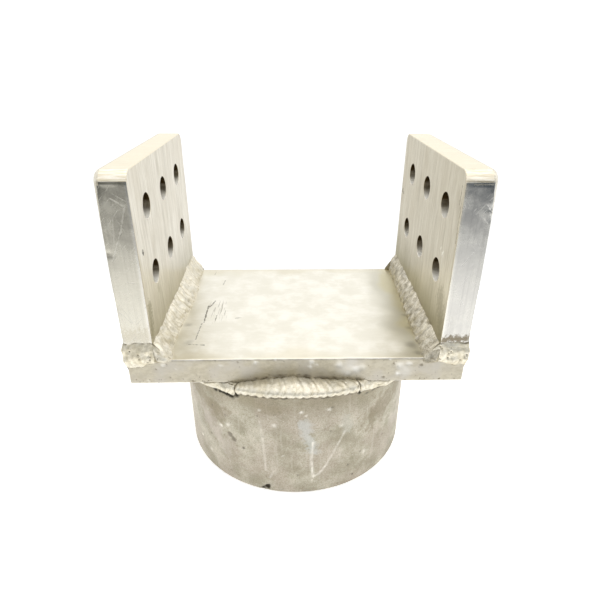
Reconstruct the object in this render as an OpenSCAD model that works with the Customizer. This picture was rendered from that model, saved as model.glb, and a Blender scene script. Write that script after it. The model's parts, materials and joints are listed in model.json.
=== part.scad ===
// Welded aluminium post anchor: a U-shaped saddle of flat bar on a short round tube.
// The tube drops over the head of a round ground pile or pipe, and a post is bolted between the cheeks.
// Frame: +Z up, +X to the right cheek, +Y to the back. The origin is the centre of the tube's foot.
// Millimetres.

/* [Base plate] */
// Length of the base plate, across the saddle
plate_l = 152.4; // [125:0.1:190]
// Width of the flat bar, which is the depth of the plate and of both cheeks
bar_w = 101.6; // [84:0.1:125]
// Thickness of the base plate
plate_t = 12.7; // [8:0.1:20]

/* [Cheeks] */
// Height of each cheek above the base plate
cheek_h = 83; // [65:0.5:120]
// Thickness of each cheek
cheek_t = 12.7; // [8:0.1:20]
// Radius ground on the two upper corners of each cheek
corner_r = 5; // [2:0.5:12]

/* [Bolt holes] */
// Diameter of each hole, which passes an M10 or 3/8 in bolt
hole_d = 11; // [8:0.1:14]
// Number of holes in a row, from front to back
hole_columns = 3; // [2:1:3]
// Number of rows of holes
hole_rows = 2; // [1:1:2]
// Distance between holes along a row
hole_pitch_y = 30; // [20:0.5:36]
// Distance between rows
hole_pitch_z = 30; // [18:0.5:36]
// Distance of the upper row below the top of the cheek
hole_margin = 18.7; // [12:0.1:22]

/* [Tube] */
// Outer diameter of the tube
tube_od = 120.65; // [98:0.05:146]
// Wall of the tube
tube_wall = 9.525; // [5:0.005:12]
// Length of the tube below the plate
tube_h = 61; // [40:0.5:100]

/* [Welds] */
// Height of the fillet weld on a cheek's inner face
fillet_up = 8.6; // [5:0.1:11]
// Width of the fillet weld on the base plate
fillet_out = 6; // [4:0.1:9]
// Height above the joint that the outer welds of a cheek cover
cap_up = 9; // [5:0.1:12]
// Depth below the joint that the outer welds of a cheek cover
cap_down = 5.5; // [3:0.1:7]
// How far the outer welds of a cheek stand proud
cap_proud = 2; // [1:0.1:4]
// Width of the ring weld on the underside of the plate
ring_out = 6; // [4:0.1:9]
// Height of the ring weld on the tube, under the plate
ring_down = 8; // [5:0.1:12]
// Height of the ring weld on the plate's edge, where the tube stands past the plate
lip_up = 3.3; // [2:0.1:6]
// Height of the ring weld on the tube, where the tube stands past the plate
lip_down = 3.6; // [2:0.1:6]
// How far the ring weld stands proud of the tube there
lip_proud = 1.5; // [0.5:0.1:3]

/* [Hidden] */
$fn = 96;
plate_z = tube_h;                  // underside of the base plate
seat_z = plate_z + plate_t;        // top of the base plate, where the cheeks and the post stand
half_l = plate_l / 2;
half_w = bar_w / 2;
inner_x = half_l - cheek_t;        // inner face of a cheek
tube_r = tube_od / 2;
bore_r = tube_r - tube_wall;
bead_steps = 8;                    // facets across a weld bead
fillet_fullness = 1.45;            // 1 is a flat fillet, 2 is a quarter of an ellipse
past = 1;                          // how far a cutter runs past what it cuts
rim_shows = tube_r > half_w;       // the tube stands past the front and back of the plate
// Half of the angle of the wedge that holds a front, back or side run of the ring weld. Where a rim shows,
// the plate's edge parts the runs, and the wedges only tell the four of them apart.
end_run_half = rim_shows ? 80 : 33;
side_run_half = rim_shows ? 90 - acos(half_w / tube_r) / 2 : 57;
lip_inner = min(bore_r, half_w);   // the lip weld starts at the plate's edge
sector_reach = 3 * tube_od;        // past every corner of a sector

ALUMINIUM_BAR = "#d3cfc4";
ALUMINIUM_CHEEK = "#cbc6ba";
ALUMINIUM_TUBE = "#b3ab9c";
ALUMINIUM_WELD = "#dcd8cf";

// A fillet bead's section in the corner of two faces: along +X it is out wide, along +Y it is up high.
function fillet_outline(out, up) = concat(
    [[0, 0]],
    [for (i = [0 : bead_steps])
        let (a = 90 * i / bead_steps, p = 2 / fillet_fullness)
        [out * pow(cos(a), p), up * pow(sin(a), p)]]
);

// A cap bead's section on a flat face: it stands proud along +X, from -down to +up along Y.
function cap_outline(proud, up, down) =
    let (middle = (up - down) / 2, half = (up + down) / 2)
    [for (i = [0 : bead_steps])
        let (a = 180 * i / bead_steps - 90)
        [proud * cos(a), middle + half * sin(a)]];

// Moves a shape made for the right side, +X, to the side wanted: 1 is right and -1 is left.
module on_side(side) {
    if (side > 0) children();
    else mirror([1, 0, 0]) children();
}

// Moves a shape made for the front, -Y, to the end wanted: 1 is front and -1 is back.
module on_end(end) {
    if (end > 0) children();
    else mirror([0, 1, 0]) children();
}

// The base plate: a length of flat bar that lies across the tube.
module base_plate() {
    color(ALUMINIUM_BAR)
        translate([-half_l, -half_w, plate_z]) cube([plate_l, bar_w, plate_t]);
}

// The cheek's face: square at the foot, with its two upper corners ground round.
module cheek_outline() {
    difference() {
        translate([-half_w, 0]) square([bar_w, cheek_h]);
        for (end = [-1, 1])
            translate([end * (half_w - corner_r), cheek_h - corner_r])
                difference() {
                    translate([end > 0 ? 0 : -corner_r - past, 0])
                        square([corner_r + past, corner_r + past]);
                    circle(r = corner_r);
                }
    }
}

// The bolt holes of one cheek, drilled through along X.
module cheek_holes() {
    for (column = [0 : hole_columns - 1], row = [0 : hole_rows - 1])
        translate([
            inner_x - past,
            (column - (hole_columns - 1) / 2) * hole_pitch_y,
            seat_z + cheek_h - hole_margin - row * hole_pitch_z
        ])
            rotate([0, 90, 0]) cylinder(d = hole_d, h = cheek_t + 2 * past);
}

// A cheek: a length of flat bar that stands on the plate, flush with its end.
module cheek(side) {
    color(ALUMINIUM_CHEEK) on_side(side)
        difference() {
            translate([inner_x, 0, seat_z]) rotate([90, 0, 90])
                linear_extrude(height = cheek_t) cheek_outline();
            cheek_holes();
        }
}

// The tube: open at the foot and closed above by the base plate.
module ground_tube() {
    color(ALUMINIUM_TUBE)
        difference() {
            cylinder(r = tube_r, h = tube_h);
            translate([0, 0, -past]) cylinder(r = bore_r, h = tube_h + 2 * past);
        }
}

// The fillet weld in the corner of the plate and a cheek's inner face.
module inner_fillet_weld(side) {
    color(ALUMINIUM_WELD) on_side(side)
        translate([inner_x, half_w, seat_z]) rotate([90, 0, 0])
            linear_extrude(height = bar_w)
                mirror([1, 0]) polygon(fillet_outline(fillet_out, fillet_up));
}

// The cap weld along the joint on a cheek's outer face.
module outer_seam_weld(side) {
    color(ALUMINIUM_WELD) on_side(side)
        translate([half_l, half_w, seat_z]) rotate([90, 0, 0])
            linear_extrude(height = bar_w)
                polygon(cap_outline(cap_proud, cap_up, cap_down));
}

// The room above the inner fillet, which the end weld leaves clear.
module above_fillet() {
    translate([inner_x, -half_w + past, seat_z]) rotate([90, 0, 0])
        linear_extrude(height = cap_proud + 2 * past)
            mirror([1, 0]) difference() {
                square([fillet_out + past, cap_up + past]);
                polygon(fillet_outline(fillet_out, fillet_up));
            }
}

// The cap weld across a cheek's edge. It closes the fillet's end and turns the corner to the outer seam.
module end_weld(side, end) {
    color(ALUMINIUM_WELD) on_side(side) on_end(end)
        difference() {
            union() {
                translate([inner_x - fillet_out, -half_w, seat_z]) rotate([90, 0, 90])
                    linear_extrude(height = cheek_t + fillet_out)
                        mirror([1, 0]) polygon(cap_outline(cap_proud, cap_up, cap_down));
                translate([half_l, -half_w, seat_z]) rotate([0, 0, -90])
                    rotate_extrude(angle = 90)
                        polygon(cap_outline(cap_proud, cap_up, cap_down));
            }
            above_fillet();
        }
}

// The column that the base plate's outline covers, from the floor up.
module plate_column() {
    translate([-half_l, -half_w, -past])
        cube([plate_l, bar_w, seat_z + 2 * past]);
}

// A wedge about Z, centred on the direction at a given angle from +X.
module sector(middle_angle, half_angle) {
    rotate([0, 0, middle_angle])
        translate([0, 0, -past])
            linear_extrude(height = seat_z + 2 * past)
                polygon([
                    [0, 0],
                    [sector_reach * cos(half_angle), -sector_reach * sin(half_angle)],
                    [sector_reach * 1.5, 0],
                    [sector_reach * cos(half_angle), sector_reach * sin(half_angle)]
                ]);
}

// The ring of fillet under the plate, all the way round the tube.
module ring_fillet() {
    translate([0, 0, plate_z]) rotate_extrude()
        translate([tube_r, 0]) mirror([0, 1])
            polygon(fillet_outline(ring_out, ring_down));
}

// The ring of weld on the tube's rim, all the way round: up the plate's edge, over the rim, down the tube.
module ring_lip() {
    translate([0, 0, plate_z]) rotate_extrude()
        polygon(concat(
            [[lip_inner - past, 0], [tube_r, 0]],
            [for (i = [0 : bead_steps - 1])
                let (a = 90 - 90 * i / bead_steps)
                [tube_r + lip_proud * cos(a), -lip_down * sin(a)]],
            [for (i = [0 : bead_steps - 1])
                let (a = 90 * i / bead_steps, p = 2 / fillet_fullness)
                [lip_inner + (tube_r + lip_proud - lip_inner) * pow(cos(a), p),
                 lip_up * pow(sin(a), p)]],
            [[lip_inner - past, lip_up]]
        ));
}

// The side run of the ring weld: a fillet between the tube and the underside of the plate.
module side_ring_weld(side) {
    color(ALUMINIUM_WELD) on_side(side)
        intersection() {
            ring_fillet();
            plate_column();
            sector(0, side_run_half);
        }
}

// The front or back run of the ring weld, which fills the ledge where the tube stands past the plate.
module end_ring_weld(end) {
    color(ALUMINIUM_WELD) on_end(end)
        intersection() {
            if (rim_shows)
                difference() {
                    ring_lip();
                    plate_column();
                }
            else
                intersection() {
                    ring_fillet();
                    plate_column();
                }
            sector(-90, end_run_half);
        }
}

base_plate();
cheek(-1);  // left_cheek
cheek(1);  // right_cheek
ground_tube();
inner_fillet_weld(-1);  // left_inner_fillet_weld
inner_fillet_weld(1);  // right_inner_fillet_weld
outer_seam_weld(-1);  // left_outer_seam_weld
outer_seam_weld(1);  // right_outer_seam_weld
end_weld(-1, 1);  // left_front_end_weld
end_weld(1, 1);  // right_front_end_weld
end_weld(-1, -1);  // left_back_end_weld
end_weld(1, -1);  // right_back_end_weld
end_ring_weld(1);  // front_ring_weld
end_ring_weld(-1);  // back_ring_weld
side_ring_weld(-1);  // left_ring_weld
side_ring_weld(1);  // right_ring_weld
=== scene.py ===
# %% [markdown]
# # A welded post anchor in aluminium
#
# The real object is a saddle for the foot of a post. Two drilled cheeks and a base plate are sawn from thick
# flat bar and stood on a short, heavy tube, and everything is joined by hand-laid weld beads. Nothing on it
# moves, so every piece rides on the one rigid body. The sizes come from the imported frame, so the looks can
# never drift away from the design: this first cell loads it and turns its boxes into millimetres.

import json
import math
import random

import bmesh
import bpy
from mathutils import Matrix, Vector, noise


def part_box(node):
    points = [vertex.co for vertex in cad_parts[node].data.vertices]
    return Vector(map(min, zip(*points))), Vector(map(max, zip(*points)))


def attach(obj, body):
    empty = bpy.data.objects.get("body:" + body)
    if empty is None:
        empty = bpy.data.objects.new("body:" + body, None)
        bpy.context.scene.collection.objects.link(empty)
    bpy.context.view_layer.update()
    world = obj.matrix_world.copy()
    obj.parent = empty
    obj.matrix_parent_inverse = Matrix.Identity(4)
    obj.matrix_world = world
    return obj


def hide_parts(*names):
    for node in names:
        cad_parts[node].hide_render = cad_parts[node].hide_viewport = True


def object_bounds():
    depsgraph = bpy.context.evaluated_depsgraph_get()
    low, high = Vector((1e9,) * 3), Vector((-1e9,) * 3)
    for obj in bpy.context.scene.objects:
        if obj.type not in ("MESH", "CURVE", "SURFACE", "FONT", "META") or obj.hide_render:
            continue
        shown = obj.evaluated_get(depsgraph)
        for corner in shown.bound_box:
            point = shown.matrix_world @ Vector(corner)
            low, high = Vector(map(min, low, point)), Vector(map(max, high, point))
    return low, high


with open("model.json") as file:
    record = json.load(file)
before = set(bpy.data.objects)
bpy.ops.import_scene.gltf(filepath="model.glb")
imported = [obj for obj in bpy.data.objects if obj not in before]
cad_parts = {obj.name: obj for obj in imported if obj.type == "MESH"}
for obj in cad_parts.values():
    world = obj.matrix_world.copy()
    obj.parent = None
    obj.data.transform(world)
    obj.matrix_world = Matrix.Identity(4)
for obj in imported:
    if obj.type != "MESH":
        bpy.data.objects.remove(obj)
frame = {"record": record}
cad_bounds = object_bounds()
MM = 0.001


def box_mm(node):
    """The lowest and the highest corner of a node, in millimetres."""
    low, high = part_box(node)
    return Vector(low) / MM, Vector(high) / MM


plate_low, plate_high = box_mm("base_plate")
cheek_low, cheek_high = box_mm("right_cheek")
tube_low, tube_high = box_mm("ground_tube")
HALF_L = plate_high.x
HALF_W = plate_high.y
PLATE_Z = plate_low.z
SEAT_Z = plate_high.z
TOP_Z = cheek_high.z
INNER_X = cheek_low.x
TUBE_R = tube_high.x
print(f"plate {2 * HALF_L:.1f} x {2 * HALF_W:.1f} mm, seat at {SEAT_Z:.1f}, top at {TOP_Z:.1f}")
print(f"tube radius {TUBE_R:.2f} mm")

# %% Read the bore and the bolt holes
mounts = {mount["name"]: mount for mount in frame["record"]["mounts"]}
BORE_R = mounts["tube_socket"]["dims"]["r_mm"]
bolts = mounts["right_corner_bolts"]
HOLE_R = bolts["dims"]["hole_r_mm"]
HOLE_YS = [bolts["dims"]["spacing_x_mm"] / 2 * column for column in (-1, 0, 1)]
HOLE_ZS = [bolts["pos_m"][2] / MM + bolts["dims"]["spacing_y_mm"] / 2 * row for row in (-1, 1)]
print(f"bore radius {BORE_R}, hole radius {HOLE_R}, holes at y {HOLE_YS} and z {HOLE_ZS}")

# %% [markdown]
# ## The camera
#
# The object is small and the camera stands close, a hand's breadth above the cheeks, so the near corners
# spread and the tube narrows. A short lens at the right distance gives that look. Turning the camera with
# one matrix, about Z, then X, then its own axis, keeps each of its three angles readable.

# %% Place the camera
EYE_MM = Vector((-3.3, -229.5, 194.4))
PITCH_DOWN = math.radians(27.0)
TURN_RIGHT = math.radians(1.394)
ROLL = math.radians(0.254)

camera_data = bpy.data.cameras.new("camera")
camera_data.sensor_width = 36.0
camera_data.lens = 28.65
camera_data.clip_start = 0.01
camera = bpy.data.objects.new("camera", camera_data)
bpy.context.scene.collection.objects.link(camera)
camera.matrix_world = (
    Matrix.Translation(EYE_MM * MM)
    @ Matrix.Rotation(-TURN_RIGHT, 4, "Z")
    @ Matrix.Rotation(math.pi / 2 - PITCH_DOWN, 4, "X")
    @ Matrix.Rotation(ROLL, 4, "Z")
)
bpy.context.scene.camera = camera
print("camera at", [round(c, 4) for c in camera.location], "lens", camera_data.lens)


# %% [markdown]
# ## Helpers for materials
#
# Every finish is made of nodes, with no pictures. A colour is written as the hex value that a screen shows
# and turned to linear light by one function. Another adds a node, sets it and links it in one line. What
# comes out of a node is wrapped as a pattern, which can be added, multiplied, stretched from one range to
# another or coated with a colour, so a material reads like the list of coats that it is.


# %% Colours and nodes
def linear(hex_colour):
    """The linear RGBA of an sRGB hex colour such as "d8d4c8"."""
    channels = [int(hex_colour[i:i + 2], 16) / 255 for i in (0, 2, 4)]
    return [c / 12.92 if c <= 0.04045 else ((c + 0.055) / 1.055) ** 2.4 for c in channels] + [1.0]


def add(tree, kind, inputs=None, **settings):
    """Adds a node with its settings. An input is a value, a hex colour, a socket or a pattern."""
    made = tree.nodes.new(kind)
    for name, value in settings.items():
        setattr(made, name, value)
    for name, value in (inputs or {}).items():
        value = value.socket if isinstance(value, Pattern) else value
        if isinstance(value, bpy.types.NodeSocket):
            tree.links.new(value, made.inputs[name])
        else:
            made.inputs[name].default_value = linear(value) if isinstance(value, str) else value
    return made


# %% Patterns
class Pattern:
    """A number or a colour that comes out of a node. Working with it adds more nodes to its tree."""

    def __init__(self, tree, socket):
        self.tree = tree
        self.socket = socket

    def math(self, how, other=0.0):
        made = add(self.tree, "ShaderNodeMath", {0: self, 1: other}, operation=how)
        return Pattern(self.tree, made.outputs["Value"])

    def __add__(self, other):
        return self.math("ADD", other)

    def __sub__(self, other):
        return self.math("SUBTRACT", other)

    def __mul__(self, other):
        return self.math("MULTIPLY", other)

    def __truediv__(self, other):
        return self.math("DIVIDE", other)

    def __abs__(self):
        return self.math("ABSOLUTE")

    def between(self, low, high, to_low=0.0, to_high=1.0, smooth=True):
        """The pattern from low to high, spread over to_low to to_high and held there outside."""
        made = add(self.tree, "ShaderNodeMapRange", {
            "Value": self, "From Min": low, "From Max": high, "To Min": to_low, "To Max": to_high,
        }, clamp=True, interpolation_type="SMOOTHSTEP" if smooth else "LINEAR")
        return Pattern(self.tree, made.outputs["Result"])

    def coat(self, share, colour):
        """This colour, with another over it where share is 1."""
        return blend(share, self, colour)


def blend(share, first, second):
    """Mixes two colours, each a hex string or a pattern, by a pattern."""
    made = add(share.tree, "ShaderNodeMix", {6: first, 7: second, 0: share}, data_type="RGBA")
    return Pattern(share.tree, made.outputs[2])


def axes_of(tree, coordinates):
    """The X, Y and Z of the coordinates, as patterns."""
    split = add(tree, "ShaderNodeSeparateXYZ", {"Vector": coordinates})
    return [Pattern(tree, split.outputs[axis]) for axis in "XYZ"]


# %% Metals
class Metal:
    """A bare metal in the making: its nodes, and the patterns that they draw on the piece."""

    def __init__(self, name):
        self.material = bpy.data.materials.new(name)
        self.material.use_nodes = True
        self.tree = self.material.node_tree
        self.tree.nodes.clear()
        self.place = add(self.tree, "ShaderNodeTexCoord").outputs["Object"]
        self.x, self.y, self.z = axes_of(self.tree, self.place)

    def noise(self, size_mm, stretch=(1, 1, 1), detail=3.0, rough=0.55, turn=(0, 0, 0), shift=(0, 0, 0)):
        """Noise with features of a real size, that many times longer along X, Y or Z. turn is in degrees."""
        placed = add(self.tree, "ShaderNodeMapping", {
            "Vector": self.place,
            "Location": shift,
            "Rotation": [math.radians(angle) for angle in turn],
            "Scale": stretch,
        }, vector_type="TEXTURE")
        made = add(self.tree, "ShaderNodeTexNoise", {
            "Vector": placed.outputs["Vector"],
            "Scale": 1.0 / (size_mm * MM),
            "Detail": detail,
            "Roughness": rough,
        })
        return Pattern(self.tree, made.outputs["Fac"])

    def mark(self, name):
        """A number painted on a piece's vertices, such as how dirty or shaded it is, or how bright."""
        return Pattern(self.tree, add(self.tree, "ShaderNodeAttribute", attribute_name=name).outputs["Fac"])

    def line(self, start, stop, width_mm, ragged):
        """A thin ragged line from start to stop, in millimetres. It is 1 on the line and 0 away from it."""
        start, stop, width = Vector(start) * MM, Vector(stop) * MM, width_mm * MM
        along = stop - start

        def vector_math(how, inputs, output):
            return add(self.tree, "ShaderNodeVectorMath", inputs, operation=how).outputs[output]

        offset = vector_math("SUBTRACT", {0: self.place, 1: start}, "Vector")
        reach = vector_math("DOT_PRODUCT", {0: offset, 1: along / along.length_squared}, "Value")
        share = Pattern(self.tree, reach).between(0.0, 1.0, smooth=False)
        foot = vector_math("SCALE", {0: along, "Scale": share}, "Vector")
        gap = Pattern(self.tree, vector_math("DISTANCE", {0: offset, 1: foot}, "Value"))
        gap = gap + (ragged - 0.5) * (width * 2.4)
        return gap.between(width * 0.2, width * 0.7, 1.0, 0.0)

    def spots(self, base, spots, ragged):
        """Coats a colour with soft-edged spots: each has a start, a stop, a width, a strength and a colour."""
        for start, stop, width_mm, strength, colour in spots:
            base = base.coat(self.line(start, stop, width_mm, ragged) * strength, colour)
        return base

    def finish(self, base, roughness, height, depth_mm, metallic=1.0):
        """Joins the patterns to a metal shader, with a fine relief of this depth."""
        bump = add(self.tree, "ShaderNodeBump", {"Height": height, "Distance": depth_mm * MM, "Strength": 1.0})
        shader = add(self.tree, "ShaderNodeBsdfPrincipled", {
            "Base Color": base,
            "Metallic": metallic,
            "Roughness": roughness,
            "Normal": bump.outputs["Normal"],
        })
        add(self.tree, "ShaderNodeOutputMaterial", {"Surface": shader.outputs["BSDF"]})
        print(self.material.name)
        return self.material


print("material helpers ready")

# %% [markdown]
# ## Flat bar, as brushed on its wide faces
#
# The cheeks' wide faces were dressed with a belt that ran up and down the bar. That leaves thousands of
# parallel lines, about half a millimetre apart, which spread each reflection sideways. Long thin noise makes
# them: the same noise drives the colour, the roughness and the relief, so that a groove is dark, rough and
# deep at once. Towards the bottom, near the welds, the faces turn a darker olive grey, the right cheek's more
# than the left's as painted shade, and there are a few bold spots.

# %% Brushed bar
FACE_SPOTS = [  # side, Y and Z of both ends, width, strength, colour
    (-1, -44.3, 122.8, -43.8, 121.8, 1.5, 0.95, "3c3a24"),
    (-1, -46.5, 98.0, -47.6, 86.0, 5.0, 0.6, "857d58"),
    (-1, -29.5, 100.6, -30.0, 98.6, 2.6, 0.4, "98926f"),
    (1, -42.0, 100.0, -47.5, 88.0, 9.0, 0.34, "7f785c"),
    (1, 47.8, 125.4, 47.2, 124.6, 1.6, 0.9, "3f3828"),
    (1, 45.2, 124.4, 45.0, 123.8, 1.2, 0.8, "3f3828"),
    (1, -36.6, 119.0, -35.4, 117.6, 1.4, 0.9, "fffdf4"),
    (1, -33.4, 119.8, -33.0, 119.2, 0.9, 0.8, "fffdf4"),
    (-1, 34.0, 118.0, 43.0, 104.0, 0.5, 0.5, "fbf8ef"),
    (1, -49.0, 146.0, -49.4, 128.0, 0.9, 0.55, "8f8468"),
    (1, -47.4, 150.0, -47.0, 143.0, 0.8, 0.5, "7b7058"),
]

metal = Metal("aluminium_flat_bar_belt_brushed")
lines = metal.noise(0.42, stretch=(1, 1, 34), detail=4.0, rough=0.7, turn=(2.5, 0, 0))
bands = metal.noise(2.6, stretch=(1, 1, 14), detail=4.0, rough=0.65, turn=(-2, 0, 0))
clouds = metal.noise(16.0, stretch=(1, 1, 1.8), detail=4.0)
pale = metal.noise(0.5, stretch=(1, 1, 20), rough=0.6, shift=(0.3, 0.2, 0.7))
smears = metal.noise(7.0, stretch=(1, 1, 3.5), detail=4.0, rough=0.6, shift=(0.6, 0.9, 0.1))
base = blend(bands.between(0.36, 0.64), "d8d2c2", "e8e3d5")
base = base.coat(lines.between(0.46, 0.62, 0.0, 0.5), "bfb8a6")
base = base.coat(pale.between(0.54, 0.66, 0.0, 0.5), "f1ede2")
base = base.coat(clouds.between(0.4, 0.7, 0.0, 0.45), "d3cbb8")
base = base.coat(smears.between(0.52, 0.72, 0.0, 0.36), "b9b2a0")
# Darker olive grey towards the bottom, near the welds; the right cheek gets more of it, as painted shade.
darker_low_down = (metal.z + (clouds - 0.5) * 0.03).between((SEAT_Z + 5) * MM, (SEAT_Z + 36) * MM, 1.0, 0.0)
base = base.coat(darker_low_down * metal.x.between(-INNER_X * MM, INNER_X * MM, 0.6, 0.95), "a39c7e")
face_spots = [((side * INNER_X, y, z), (side * INNER_X, to_y, to_z), width, strength, colour)
              for side, y, z, to_y, to_z, width, strength, colour in FACE_SPOTS]
base = metal.spots(base, face_spots, metal.noise(1.2))
base = base.coat(metal.mark("soot_and_shade").between(0.1, 0.8), "4a4335").coat(metal.mark("bright"), "fbf8ef")
BRUSHED_BAR = metal.finish(base, lines.between(0.35, 0.65, 0.30, 0.46), lines + bands * 0.8, 0.012)

# %% [markdown]
# ## The bar's rolled edges
#
# The narrow edges of the bar are as the die left them: smooth enough to mirror the room as a soft gradient,
# with faint die lines along the bar, a few slanting scratches and cloudy patches where it has been handled.
# Above each end weld there is a band of smoke, where the bead hasn't wetted the bar.


# %% Fine scratches
def fine_scratches(metal, size_mm, lean, shift=(0, 0, 0)):
    """Thin lines: the narrow band where long noise crosses its middle value, kept only in some places."""
    field = metal.noise(size_mm, stretch=(1, 1, 18), detail=0.0, turn=(0, lean, 0), shift=shift)
    where = metal.noise(size_mm * 1.7, detail=1.0, shift=(0.31, 0.17, 0.23))
    return abs(field - 0.5).between(0.0, 0.010, 1.0, 0.0) * where.between(0.52, 0.62)


# %% Rolled edge
EDGE_SMOKE = [  # end, X and Z of both ends, width, strength, colour
    (-1, 64.6, 83.4, 76.2, 83.6, 3.4, 0.85, "6d624c"),
    (-1, -76.0, 85.6, -64.6, 86.4, 8.0, 0.34, "a39b88"),
    (1, -76.0, 83.8, -64.6, 84.0, 3.6, 0.7, "6d624c"),
    (1, 64.6, 84.2, 76.0, 83.9, 4.0, 0.7, "6d624c"),
]
EDGE_SCRATCHES = [  # X and Z of both ends, width, strength
    (-74.0, 121.0, -68.5, 134.0, 0.6, 0.8),
    (-68.5, 134.0, -65.5, 144.0, 0.5, 0.5),
    (-70.5, 146.5, -66.0, 143.5, 0.5, 0.8),
    (-69.5, 148.3, -65.0, 145.5, 0.4, 0.6),
    (-69.5, 111.8, -66.5, 111.4, 0.4, 0.7),
    (-72.0, 128.0, -71.0, 139.0, 0.4, 0.4),
    (73.2, 143.8, 75.2, 141.2, 0.5, 0.9),
    (74.6, 140.6, 76.0, 138.4, 0.5, 0.9),
    (72.6, 138.4, 74.6, 136.2, 0.4, 0.8),
    (67.0, 118.0, 71.0, 124.0, 0.4, 0.4),
]

metal = Metal("aluminium_flat_bar_rolled_edge")
lines = metal.noise(0.8, stretch=(1, 1, 50))
clouds = metal.noise(7.0, detail=5.0, rough=0.6)
ragged = metal.noise(1.2)
marks = fine_scratches(metal, 4.0, -30, shift=(0.05, 0, 0.03)) * 0.7
marks = fine_scratches(metal, 3.0, 38).math("MAXIMUM", marks)
for x, z, to_x, to_z, width, strength in EDGE_SCRATCHES:
    line = metal.line((x, -HALF_W, z), (to_x, -HALF_W, to_z), width, ragged)
    marks = marks.math("MAXIMUM", line * strength)
base = blend(clouds.between(0.35, 0.65), "cbc9c4", "dddbd4")
base = base.coat(lines.between(0.45, 0.7, 0.0, 0.3), "aeaca8").coat(marks * 0.5, "f4f2ec")
# Painted shade: this darker coat is laid more heavily on the left cheek's narrow faces than on the right's.
base = base.coat(metal.x.between(-5 * MM, 5 * MM, 0.4, 0.14), "b0aea3")
smoke_and_shade = [((x, end * HALF_W, z), (to_x, end * HALF_W, to_z), width, strength, colour)
         for end, x, z, to_x, to_z, width, strength, colour in EDGE_SMOKE]
base = metal.spots(base, smoke_and_shade, ragged * 0.7 + 0.15)
base = base.coat(metal.mark("bright"), "fdfbf4").coat(metal.mark("soot_and_shade").between(0.1, 0.8), "56503f")
roughness = clouds.between(0.3, 0.7, 0.17, 0.30) + marks * 0.2
ROLLED_EDGE = metal.finish(base, roughness, clouds * 1.2 + lines * 0.25 - marks * 0.3, 0.03)

# %% [markdown]
# ## Ground tops and corners
#
# The cheeks' top ends were sawn and then rounded with a grinding disc, whose grit runs across the thickness.
# The fresh metal is paler and warmer than the rest, and its coarse lines are about a third of a millimetre
# wide, so they show.

# %% Ground metal
CORNER_R = 5.0

metal = Metal("aluminium_ground_with_a_disc")
lines = metal.noise(0.42, stretch=(30, 1, 1), detail=4.0, rough=0.7)
corner = abs(metal.y).between((HALF_W - CORNER_R - 0.5) * MM, (HALF_W - CORNER_R + 0.5) * MM)
groove = blend(corner, "e9e0c8", "d8cdb2")
ridge = blend(corner, "f3edda", "fffbf0")
base = blend(lines.between(0.4, 0.62), groove, ridge)
base = base.coat(metal.noise(9.0).between(0.4, 0.7, 0.0, 0.4), "f1e5cd")
base = base.coat(metal.mark("soot_and_shade").between(0.1, 0.8), "8d8369")
GROUND_METAL = metal.finish(base, lines.between(0.35, 0.65, 0.32, 0.5), lines, 0.05)

# %% [markdown]
# ## The drilled holes
#
# A twist drill leaves fine rings round the wall of a hole. Its upper part is painted dark, as painted shade.
# Its lower part, which catches the light from above, is painted chalky and pale, as painted highlight.

# %% Drilled wall
metal = Metal("aluminium_drilled")
rings = metal.noise(0.3, stretch=(1, 14, 14), detail=2.0)
base = blend(rings.between(0.4, 0.6), "cfc5ab", "ece5d2")
base = base.coat(metal.noise(4.0).between(0.45, 0.65, 0.0, 0.5), "a89b7c")
# Painted shade and highlight: the dark coat darkens the top of each hole and the pale, less metallic coat
# lightens its bottom.
base = base.coat(metal.mark("soot_and_shade"), "3b2d17").coat(metal.mark("bright"), "fffcf2")
DRILLED_WALL = metal.finish(base, 0.5, rings, 0.02, metallic=metal.mark("bright") * -0.85 + 1.0)

# %% [markdown]
# ## The base plate's wide face
#
# The same bar lies flat here, as it came from the mill: nearly white, hazy, with a faint lengthwise grain and
# cloudy patches. Beside each cheek lies a grey band of painted shade, standing for the cheek's reflection,
# stronger on the right than on the left, and closest to the bead the weld has left a straw-coloured band, also
# weaker on the left. A few dark scuffs, and a comb of finer ones, run from front to back where a post was
# dragged in.

# %% Mill-finish face
SCUFFS = [  # X and Y of both ends, width, strength
    (-47.0, -17.0, -47.2, 1.0, 0.7, 0.85),
    (-46.8, -2.0, -44.4, 6.5, 0.6, 0.8),
    (-48.4, -33.5, -47.8, -18.0, 0.5, 0.5),
    (-42.6, 28.0, -42.0, 34.0, 0.5, 0.5),
    (-50.8, -38.0, -43.5, -38.6, 0.5, 0.7),
    (-49.6, 42.5, -49.2, 47.0, 0.5, 0.5),
    (-31.5, -13.0, -28.5, -12.4, 0.6, 0.5),
    (-41.6, -15.0, -41.3, -10.0, 0.5, 0.6),
]

metal = Metal("aluminium_flat_bar_mill_finish")
grain = metal.noise(0.6, stretch=(14, 1, 1))
clouds = metal.noise(11.0, detail=5.0, rough=0.6)
wander = (metal.noise(26.0, detail=2.0, shift=(0.4, 0.1, 0)) - 0.5) * 0.03
base = blend(clouds.between(0.38, 0.66), "e8e4d6", "f4f1e7")
base = base.coat(grain.between(0.5, 0.7, 0.0, 0.25), "ddd7c6")
reach = abs(metal.x) + wander
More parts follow.
